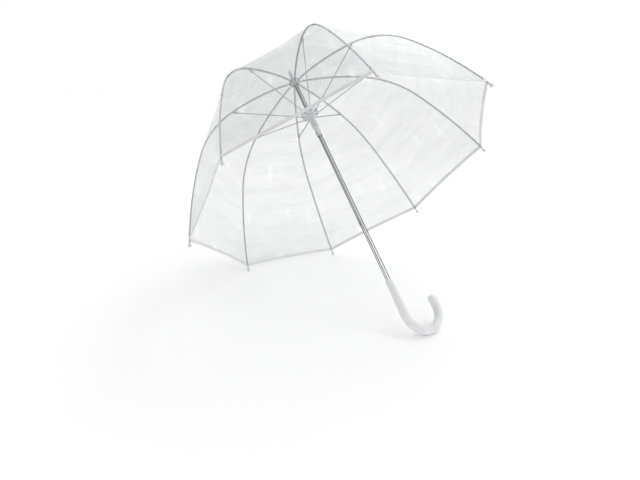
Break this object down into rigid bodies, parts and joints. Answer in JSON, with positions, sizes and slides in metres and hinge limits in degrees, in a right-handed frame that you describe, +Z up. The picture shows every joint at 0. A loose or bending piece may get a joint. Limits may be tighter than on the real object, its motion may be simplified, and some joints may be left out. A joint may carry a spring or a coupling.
{
  "type": "clear dome umbrella",
  "caption": "Deep clear-film dome umbrella, open and lying on its rim and hook, with a chrome shaft, white hooked handle, wire ribs and stretchers, and a sliding runner.",
  "frame": {"origin": "on the floor, under the middle of the umbrella's box", "axes": "+Z up from the floor; +Y along the rim's edge between the two rib tips that rest on the floor, which is the way the hook bends; the shaft lies in the XZ plane, with its ferrule up and towards -X"},
  "size_m": [0.6582, 0.745, 0.6466],
  "materials": {
    "film": "clear, flexible film, glossy, with soft creases",
    "white_plastic": "smooth moulded plastic, glossy",
    "white_wire": "wire with a thin white coating",
    "chrome": "bright plated tube",
    "steel": "bare spring wire and pins"
  },
  "bodies": {
    "root": {"shaft_tube": "chrome", "ferrule": "white_plastic", "top_cap": "white_plastic", "crown": "white_plastic", "crown_ring": "steel", "stop_pin": "steel", "handle": "white_plastic", "catch_pins": "steel"},
    "runner": {"runner": "white_plastic", "runner_ring": "steel"},
    "upper_catch": {"upper_catch": "steel"},
    "lower_catch": {"lower_catch": "steel"},
    "rib_top_1": {"rib_top_1": "white_wire"},
    "rib_side_1": {"rib_side_1": "white_wire", "ball_tip_1": "white_plastic"},
    "film_top_1": {"film_top_1": "film"},
    "film_side_1": {"film_side_1": "film"},
    "stretcher_1": {"stretcher_1": "white_wire"},
    "rib_top_2": {"rib_top_2": "white_wire"},
    "rib_side_2": {"rib_side_2": "white_wire", "ball_tip_2": "white_plastic"},
    "film_top_2": {"film_top_2": "film"},
    "film_side_2": {"film_side_2": "film"},
    "stretcher_2": {"stretcher_2": "white_wire"},
    "rib_top_3": {"rib_top_3": "white_wire"},
    "rib_side_3": {"rib_side_3": "white_wire", "ball_tip_3": "white_plastic"},
    "film_top_3": {"film_top_3": "film"},
    "film_side_3": {"film_side_3": "film"},
    "stretcher_3": {"stretcher_3": "white_wire"},
    "rib_top_4": {"rib_top_4": "white_wire"},
    "rib_side_4": {"rib_side_4": "white_wire", "ball_tip_4": "white_plastic"},
    "film_top_4": {"film_top_4": "film"},
    "film_side_4": {"film_side_4": "film"},
    "stretcher_4": {"stretcher_4": "white_wire"},
    "rib_top_5": {"rib_top_5": "white_wire"},
    "rib_side_5": {"rib_side_5": "white_wire", "ball_tip_5": "white_plastic"},
    "film_top_5": {"film_top_5": "film"},
    "film_side_5": {"film_side_5": "film"},
    "stretcher_5": {"stretcher_5": "white_wire"},
    "rib_top_6": {"rib_top_6": "white_wire"},
    "rib_side_6": {"rib_side_6": "white_wire", "ball_tip_6": "white_plastic"},
    "film_top_6": {"film_top_6": "film"},
    "film_side_6": {"film_side_6": "film"},
    "stretcher_6": {"stretcher_6": "white_wire"},
    "rib_top_7": {"rib_top_7": "white_wire"},
    "rib_side_7": {"rib_side_7": "white_wire", "ball_tip_7": "white_plastic"},
    "film_top_7": {"film_top_7": "film"},
    "film_side_7": {"film_side_7": "film"},
    "stretcher_7": {"stretcher_7": "white_wire"},
    "rib_top_8": {"rib_top_8": "white_wire"},
    "rib_side_8": {"rib_side_8": "white_wire", "ball_tip_8": "white_plastic"},
    "film_top_8": {"film_top_8": "film"},
    "film_side_8": {"film_side_8": "film"},
    "stretcher_8": {"stretcher_8": "white_wire"}
  },
  "joints": [
    {"name": "runner_slide", "type": "slide", "parent": "root", "child": "runner", "axis": [0.7208, 0, -0.6932], "range_m": [0, 0.24671]},
    {"name": "rib_1_fold", "type": "hinge", "parent": "root", "child": "rib_top_1", "pos_m": [-0.22465, -0.00924, 0.52761], "axis": [0.6404, -0.3827, 0.6659], "range_deg": [0, 65.36]},
    {"name": "rib_1_flex", "type": "hinge", "parent": "rib_top_1", "child": "rib_side_1", "pos_m": [-0.23472, -0.2248, 0.41342], "axis": [0.6404, -0.3827, 0.6659], "range_deg": [-34.08, 0]},
    {"name": "stretcher_1_swing", "type": "hinge", "parent": "rib_top_1", "child": "stretcher_1", "pos_m": [-0.23933, -0.17371, 0.44721], "axis": [0.6404, -0.3827, 0.6659], "range_deg": [-125.73, 0]},
    {"name": "rib_2_fold", "type": "hinge", "parent": "root", "child": "rib_top_2", "pos_m": [-0.2284, -0.00383, 0.52371], "axis": [0.2653, -0.9239, 0.2758], "range_deg": [0, 65.36]},
    {"name": "rib_2_flex", "type": "hinge", "parent": "rib_top_2", "child": "rib_side_2", "pos_m": [-0.32599, -0.09311, 0.3185], "axis": [0.2653, -0.9239, 0.2758], "range_deg": [-34.08, 0]},
    {"name": "stretcher_2_swing", "type": "hinge", "parent": "rib_top_2", "child": "stretcher_2", "pos_m": [-0.30986, -0.07195, 0.37387], "axis": [0.2653, -0.9239, 0.2758], "range_deg": [-125.73, 0]},
    {"name": "rib_3_fold", "type": "hinge", "parent": "root", "child": "rib_top_3", "pos_m": [-0.2284, 0.00383, 0.52371], "axis": [-0.2653, -0.9239, -0.2758], "range_deg": [0, 65.36]},
    {"name": "rib_3_flex", "type": "hinge", "parent": "rib_top_3", "child": "rib_side_3", "pos_m": [-0.32599, 0.09311, 0.3185], "axis": [-0.2653, -0.9239, -0.2758], "range_deg": [-34.08, 0]},
    {"name": "stretcher_3_swing", "type": "hinge", "parent": "rib_top_3", "child": "stretcher_3", "pos_m": [-0.30986, 0.07195, 0.37387], "axis": [-0.2653, -0.9239, -0.2758], "range_deg": [-125.73, 0]},
    {"name": "rib_4_fold", "type": "hinge", "parent": "root", "child": "rib_top_4", "pos_m": [-0.22465, 0.00924, 0.52761], "axis": [-0.6404, -0.3827, -0.6659], "range_deg": [0, 65.36]},
    {"name": "rib_4_flex", "type": "hinge", "parent": "rib_top_4", "child": "rib_side_4", "pos_m": [-0.23472, 0.2248, 0.41342], "axis": [-0.6404, -0.3827, -0.6659], "range_deg": [-34.08, 0]},
    {"name": "stretcher_4_swing", "type": "hinge", "parent": "rib_top_4", "child": "stretcher_4", "pos_m": [-0.23933, 0.17371, 0.44721], "axis": [-0.6404, -0.3827, -0.6659], "range_deg": [-125.73, 0]},
    {"name": "rib_5_fold", "type": "hinge", "parent": "root", "child": "rib_top_5", "pos_m": [-0.21935, 0.00924, 0.53313], "axis": [-0.6404, 0.3827, -0.6659], "range_deg": [0, 65.36]},
    {"name": "rib_5_flex", "type": "hinge", "parent": "rib_top_5", "child": "rib_side_5", "pos_m": [-0.10563, 0.2248, 0.54765], "axis": [-0.6404, 0.3827, -0.6659], "range_deg": [-34.08, 0]},
    {"name": "stretcher_5_swing", "type": "hinge", "parent": "rib_top_5", "child": "stretcher_5", "pos_m": [-0.13958, 0.17371, 0.55093], "axis": [-0.6404, 0.3827, -0.6659], "range_deg": [-125.73, 0]},
    {"name": "rib_6_fold", "type": "hinge", "parent": "root", "child": "rib_top_6", "pos_m": [-0.2156, 0.00383, 0.53703], "axis": [-0.2653, 0.9239, -0.2758], "range_deg": [0, 65.36]},
    {"name": "rib_6_flex", "type": "hinge", "parent": "rib_top_6", "child": "rib_side_6", "pos_m": [-0.01435, 0.09311, 0.64256], "axis": [-0.2653, 0.9239, -0.2758], "range_deg": [-34.08, 0]},
    {"name": "stretcher_6_swing", "type": "hinge", "parent": "rib_top_6", "child": "stretcher_6", "pos_m": [-0.06905, 0.07195, 0.62428], "axis": [-0.2653, 0.9239, -0.2758], "range_deg": [-125.73, 0]},
    {"name": "rib_7_fold", "type": "hinge", "parent": "root", "child": "rib_top_7", "pos_m": [-0.2156, -0.00383, 0.53703], "axis": [0.2653, 0.9239, 0.2758], "range_deg": [0, 65.36]},
    {"name": "rib_7_flex", "type": "hinge", "parent": "rib_top_7", "child": "rib_side_7", "pos_m": [-0.01435, -0.09311, 0.64256], "axis": [0.2653, 0.9239, 0.2758], "range_deg": [-34.08, 0]},
    {"name": "stretcher_7_swing", "type": "hinge", "parent": "rib_top_7", "child": "stretcher_7", "pos_m": [-0.06905, -0.07195, 0.62428], "axis": [0.2653, 0.9239, 0.2758], "range_deg": [-125.73, 0]},
    {"name": "rib_8_fold", "type": "hinge", "parent": "root", "child": "rib_top_8", "pos_m": [-0.21935, -0.00924, 0.53313], "axis": [0.6404, 0.3827, 0.6659], "range_deg": [0, 65.36]},
    {"name": "rib_8_flex", "type": "hinge", "parent": "rib_top_8", "child": "rib_side_8", "pos_m": [-0.10563, -0.2248, 0.54765], "axis": [0.6404, 0.3827, 0.6659], "range_deg": [-34.08, 0]},
    {"name": "stretcher_8_swing", "type": "hinge", "parent": "rib_top_8", "child": "stretcher_8", "pos_m": [-0.13958, -0.17371, 0.55093], "axis": [0.6404, 0.3827, 0.6659], "range_deg": [-125.73, 0]},
    {"name": "film_1_fold", "type": "hinge", "parent": "root", "child": "film_top_1", "pos_m": [-0.22653, -0.00653, 0.52566], "axis": [0.4901, -0.7071, 0.5097], "range_deg": [0, 64.86], "deforming": ["film_top_1"]},
    {"name": "film_1_flex", "type": "hinge", "parent": "film_top_1", "child": "film_side_1", "pos_m": [-0.28036, -0.15896, 0.36596], "axis": [0.4901, -0.7071, 0.5097], "range_deg": [-35.52, 0], "deforming": ["film_side_1"]},
    {"name": "film_2_fold", "type": "hinge", "parent": "root", "child": "film_top_2", "pos_m": [-0.2284, 0, 0.52371], "axis": [0, -1, 0], "range_deg": [0, 64.86], "deforming": ["film_top_2"]},
    {"name": "film_2_flex", "type": "hinge", "parent": "film_top_2", "child": "film_side_2", "pos_m": [-0.32599, 0, 0.3185], "axis": [0, -1, 0], "range_deg": [-35.52, 0], "deforming": ["film_side_2"]},
    {"name": "film_3_fold", "type": "hinge", "parent": "root", "child": "film_top_3", "pos_m": [-0.22653, 0.00653, 0.52566], "axis": [-0.4901, -0.7071, -0.5097], "range_deg": [0, 64.86], "deforming": ["film_top_3"]},
    {"name": "film_3_flex", "type": "hinge", "parent": "film_top_3", "child": "film_side_3", "pos_m": [-0.28036, 0.15896, 0.36596], "axis": [-0.4901, -0.7071, -0.5097], "range_deg": [-35.52, 0], "deforming": ["film_side_3"]},
    {"name": "film_4_fold", "type": "hinge", "parent": "root", "child": "film_top_4", "pos_m": [-0.222, 0.00924, 0.53037], "axis": [-0.6932, 0, -0.7208], "range_deg": [0, 64.86], "deforming": ["film_top_4"]},
    {"name": "film_4_flex", "type": "hinge", "parent": "film_top_4", "child": "film_side_4", "pos_m": [-0.17017, 0.2248, 0.48053], "axis": [-0.6932, 0, -0.7208], "range_deg": [-35.52, 0], "deforming": ["film_side_4"]},
    {"name": "film_5_fold", "type": "hinge", "parent": "root", "child": "film_top_5", "pos_m": [-0.21747, 0.00653, 0.53508], "axis": [-0.4901, 0.7071, -0.5097], "range_deg": [0, 64.86], "deforming": ["film_top_5"]},
    {"name": "film_5_flex", "type": "hinge", "parent": "film_top_5", "child": "film_side_5", "pos_m": [-0.05999, 0.15896, 0.5951], "axis": [-0.4901, 0.7071, -0.5097], "range_deg": [-35.52, 0], "deforming": ["film_side_5"]},
    {"name": "film_6_fold", "type": "hinge", "parent": "root", "child": "film_top_6", "pos_m": [-0.2156, 0, 0.53703], "axis": [0, 1, 0], "range_deg": [0, 64.86], "deforming": ["film_top_6"]},
    {"name": "film_6_flex", "type": "hinge", "parent": "film_top_6", "child": "film_side_6", "pos_m": [-0.01435, 0, 0.64256], "axis": [0, 1, 0], "range_deg": [-35.52, 0], "deforming": ["film_side_6"]},
    {"name": "film_7_fold", "type": "hinge", "parent": "root", "child": "film_top_7", "pos_m": [-0.21747, -0.00653, 0.53508], "axis": [0.4901, 0.7071, 0.5097], "range_deg": [0, 64.86], "deforming": ["film_top_7"]},
    {"name": "film_7_flex", "type": "hinge", "parent": "film_top_7", "child": "film_side_7", "pos_m": [-0.05999, -0.15896, 0.5951], "axis": [0.4901, 0.7071, 0.5097], "range_deg": [-35.52, 0], "deforming": ["film_side_7"]},
    {"name": "film_8_fold", "type": "hinge", "parent": "root", "child": "film_top_8", "pos_m": [-0.222, -0.00924, 0.53037], "axis": [0.6932, 0, 0.7208], "range_deg": [0, 64.86], "deforming": ["film_top_8"]},
    {"name": "film_8_flex", "type": "hinge", "parent": "film_top_8", "child": "film_side_8", "pos_m": [-0.17017, -0.2248, 0.48053], "axis": [0.6932, 0, 0.7208], "range_deg": [-35.52, 0], "deforming": ["film_side_8"]},
    {"name": "upper_catch_press", "type": "hinge", "parent": "root", "child": "upper_catch", "pos_m": [-0.08145, -0.0016, 0.3952], "axis": [0.6932, 0, 0.7208], "range_deg": [0, 15]},
    {"name": "lower_catch_press", "type": "hinge", "parent": "root", "child": "lower_catch", "pos_m": [0.11389, -0.0016, 0.20736], "axis": [-0.6932, 0, -0.7208], "range_deg": [0, 17], "stiffness_Nm_per_rad": 0.05}
  ],
  "couplings": [
    {"joint": "rib_1_fold", "follows": "runner_slide", "rad_per_m": 4.6225},
    {"joint": "rib_1_flex", "follows": "runner_slide", "rad_per_m": -2.4097},
    {"joint": "stretcher_1_swing", "follows": "runner_slide", "rad_per_m": -8.893},
    {"joint": "rib_2_fold", "follows": "runner_slide", "rad_per_m": 4.6225},
    {"joint": "rib_2_flex", "follows": "runner_slide", "rad_per_m": -2.4097},
    {"joint": "stretcher_2_swing", "follows": "runner_slide", "rad_per_m": -8.893},
    {"joint": "rib_3_fold", "follows": "runner_slide", "rad_per_m": 4.6225},
    {"joint": "rib_3_flex", "follows": "runner_slide", "rad_per_m": -2.4097},
    {"joint": "stretcher_3_swing", "follows": "runner_slide", "rad_per_m": -8.893},
    {"joint": "rib_4_fold", "follows": "runner_slide", "rad_per_m": 4.6225},
    {"joint": "rib_4_flex", "follows": "runner_slide", "rad_per_m": -2.4097},
    {"joint": "stretcher_4_swing", "follows": "runner_slide", "rad_per_m": -8.893},
    {"joint": "rib_5_fold", "follows": "runner_slide", "rad_per_m": 4.6225},
    {"joint": "rib_5_flex", "follows": "runner_slide", "rad_per_m": -2.4097},
    {"joint": "stretcher_5_swing", "follows": "runner_slide", "rad_per_m": -8.893},
    {"joint": "rib_6_fold", "follows": "runner_slide", "rad_per_m": 4.6225},
    {"joint": "rib_6_flex", "follows": "runner_slide", "rad_per_m": -2.4097},
    {"joint": "stretcher_6_swing", "follows": "runner_slide", "rad_per_m": -8.893},
    {"joint": "rib_7_fold", "follows": "runner_slide", "rad_per_m": 4.6225},
    {"joint": "rib_7_flex", "follows": "runner_slide", "rad_per_m": -2.4097},
    {"joint": "stretcher_7_swing", "follows": "runner_slide", "rad_per_m": -8.893},
    {"joint": "rib_8_fold", "follows": "runner_slide", "rad_per_m": 4.6225},
    {"joint": "rib_8_flex", "follows": "runner_slide", "rad_per_m": -2.4097},
    {"joint": "stretcher_8_swing", "follows": "runner_slide", "rad_per_m": -8.893},
    {"joint": "film_1_fold", "follows": "runner_slide", "rad_per_m": 4.587},
    {"joint": "film_1_flex", "follows": "runner_slide", "rad_per_m": -2.5112},
    {"joint": "film_2_fold", "follows": "runner_slide", "rad_per_m": 4.587},
    {"joint": "film_2_flex", "follows": "runner_slide", "rad_per_m": -2.5112},
    {"joint": "film_3_fold", "follows": "runner_slide", "rad_per_m": 4.587},
    {"joint": "film_3_flex", "follows": "runner_slide", "rad_per_m": -2.5112},
    {"joint": "film_4_fold", "follows": "runner_slide", "rad_per_m": 4.587},
    {"joint": "film_4_flex", "follows": "runner_slide", "rad_per_m": -2.5112},
    {"joint": "film_5_fold", "follows": "runner_slide", "rad_per_m": 4.587},
    {"joint": "film_5_flex", "follows": "runner_slide", "rad_per_m": -2.5112},
    {"joint": "film_6_fold", "follows": "runner_slide", "rad_per_m": 4.587},
    {"joint": "film_6_flex", "follows": "runner_slide", "rad_per_m": -2.5112},
    {"joint": "film_7_fold", "follows": "runner_slide", "rad_per_m": 4.587},
    {"joint": "film_7_flex", "follows": "runner_slide", "rad_per_m": -2.5112},
    {"joint": "film_8_fold", "follows": "runner_slide", "rad_per_m": 4.587},
    {"joint": "film_8_flex", "follows": "runner_slide", "rad_per_m": -2.5112}
  ]
}
